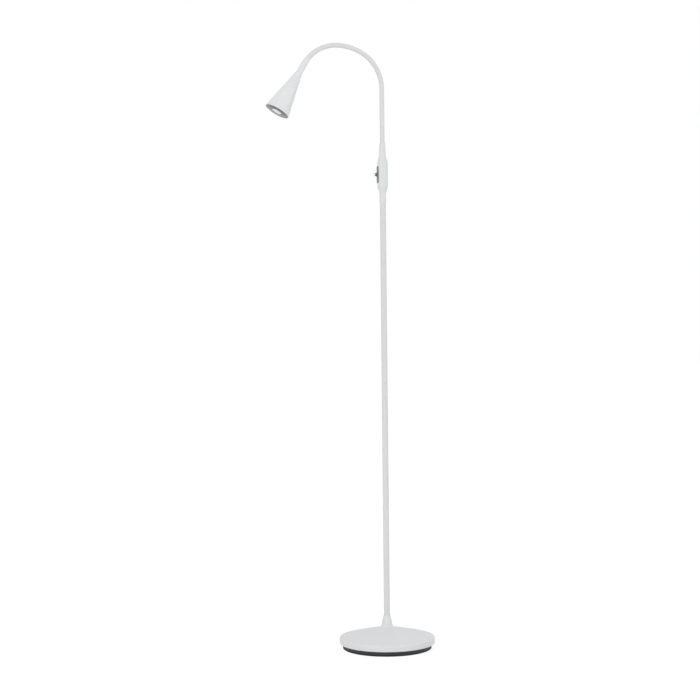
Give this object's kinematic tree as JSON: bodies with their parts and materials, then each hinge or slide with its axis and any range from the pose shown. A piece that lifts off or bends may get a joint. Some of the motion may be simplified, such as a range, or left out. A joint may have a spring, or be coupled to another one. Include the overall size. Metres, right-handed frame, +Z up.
{
  "type": "floor lamp",
  "caption": "Slim floor lamp: weighted round base with a low conical cover, thin pole, in-line toggle switch and a bendable arm arched over to a conical spot head with a domed lens.",
  "frame": {"origin": "on the floor under the pole's axis, on the underside of the foot pad", "axes": "+Z up along the pole; the switch, the arch and the head face -X; the cord inlet faces +X"},
  "size_m": [0.3343, 0.19, 1.2041],
  "materials": {
    "white_paint": "satin white powder coat",
    "white_plastic": "satin white moulding",
    "white_sleeve": "satin white soft sleeve",
    "charcoal": "fine matt grain, charcoal",
    "dark_grey": "matt dark grey",
    "black_rubber": "matt black",
    "black_plastic": "matt black",
    "bright_metal": "polished plating",
    "cast_iron": "raw casting",
    "steel": "zinc-plated",
    "aluminium": "turned",
    "ivory_plastic": "moulded, ivory",
    "lead_grey": "smooth grey insulation",
    "board_white": "white solder mask",
    "chip_yellow": "clear coat over phosphor",
    "lens_white": "milky, smooth"
  },
  "bodies": {
    "stand": {"foot_pad": "black_rubber", "base_foot": "charcoal", "foot_screws": "steel", "base_weight": "cast_iron", "base_cover": "white_paint", "cord_grommet": "black_rubber", "terminal_block": "ivory_plastic", "supply_lead": "lead_grey", "pole_nut": "steel", "lock_washer": "steel", "pole_washer": "steel", "pole_nipple": "steel", "pole_insert": "steel", "pole": "white_paint", "switch_housing": "white_plastic", "housing_screws": "steel", "switch_body": "black_plastic", "switch_plate": "dark_grey", "switch_bushing": "dark_grey", "bushing_nut": "dark_grey", "arm_ferrule": "steel", "arm_sleeve_0": "white_sleeve", "arm_hose_0": "steel", "arm_lead_0": "lead_grey"},
    "toggle": {"toggle_lever": "bright_metal"},
    "link_1": {"arm_sleeve_1": "white_sleeve", "arm_hose_1": "steel", "arm_lead_1": "lead_grey"},
    "link_2": {"arm_sleeve_2": "white_sleeve", "arm_hose_2": "steel", "arm_lead_2": "lead_grey"},
    "link_3": {"arm_sleeve_3": "white_sleeve", "arm_hose_3": "steel", "arm_lead_3": "lead_grey"},
    "link_4": {"arm_sleeve_4": "white_sleeve", "arm_hose_4": "steel", "arm_lead_4": "lead_grey"},
    "link_5": {"arm_sleeve_5": "white_sleeve", "arm_hose_5": "steel", "arm_lead_5": "lead_grey"},
    "link_6": {"arm_sleeve_6": "white_sleeve", "arm_hose_6": "steel", "arm_lead_6": "lead_grey"},
    "link_7": {"arm_sleeve_7": "white_sleeve", "arm_hose_7": "steel", "arm_lead_7": "lead_grey"},
    "link_8": {"arm_sleeve_8": "white_sleeve", "arm_hose_8": "steel", "arm_lead_8": "lead_grey"},
    "head": {"head_boot": "white_plastic", "head_shell": "white_plastic", "heat_sink": "aluminium", "led_board": "board_white", "board_screws": "steel", "led_chip": "chip_yellow", "lens": "lens_white", "lens_ring": "dark_grey", "arm_sleeve_9": "white_sleeve", "arm_hose_9": "steel", "arm_lead_9": "lead_grey"}
  },
  "joints": [
    {"name": "arm_bend_1", "type": "hinge", "parent": "stand", "child": "link_1", "pos_m": [0, 0, 1.02008], "axis": [0, -1, 0], "range_deg": [-30, 30]},
    {"name": "arm_sway_2", "type": "hinge", "parent": "link_1", "child": "link_2", "pos_m": [0, 0, 1.06858], "axis": [1, 0, 0], "range_deg": [-30, 30]},
    {"name": "arm_bend_3", "type": "hinge", "parent": "link_2", "child": "link_3", "pos_m": [0, 0, 1.11708], "axis": [0, -1, 0], "range_deg": [-30, 10]},
    {"name": "arm_bend_4", "type": "hinge", "parent": "link_3", "child": "link_4", "pos_m": [-0.00568, 0, 1.1466], "axis": [0, -1, 0], "range_deg": [-30, 10]},
    {"name": "arm_sway_5", "type": "hinge", "parent": "link_4", "child": "link_5", "pos_m": [-0.02191, 0, 1.17189], "axis": [0.7244, 0, 0.6894], "range_deg": [-30, 30]},
    {"name": "arm_bend_6", "type": "hinge", "parent": "link_5", "child": "link_6", "pos_m": [-0.04637, 0, 1.18935], "axis": [0, -1, 0], "range_deg": [-30, 10]},
    {"name": "arm_sway_7", "type": "hinge", "parent": "link_6", "child": "link_7", "pos_m": [-0.08677, 0, 1.19922], "axis": [0.0494, 0, 0.9988], "range_deg": [-30, 30]},
    {"name": "arm_bend_8", "type": "hinge", "parent": "link_7", "child": "link_8", "pos_m": [-0.11653, 0, 1.19501], "axis": [0, -1, 0], "range_deg": [-30, 10]},
    {"name": "arm_bend_9", "type": "hinge", "parent": "link_8", "child": "head", "pos_m": [-0.14259, 0, 1.18005], "axis": [0, -1, 0], "range_deg": [-30, 10]},
    {"name": "toggle_flip", "type": "hinge", "parent": "stand", "child": "toggle", "pos_m": [-0.0128, 0, 0.94508], "axis": [0, -1, 0], "range_deg": [0, 26]}
  ]
}
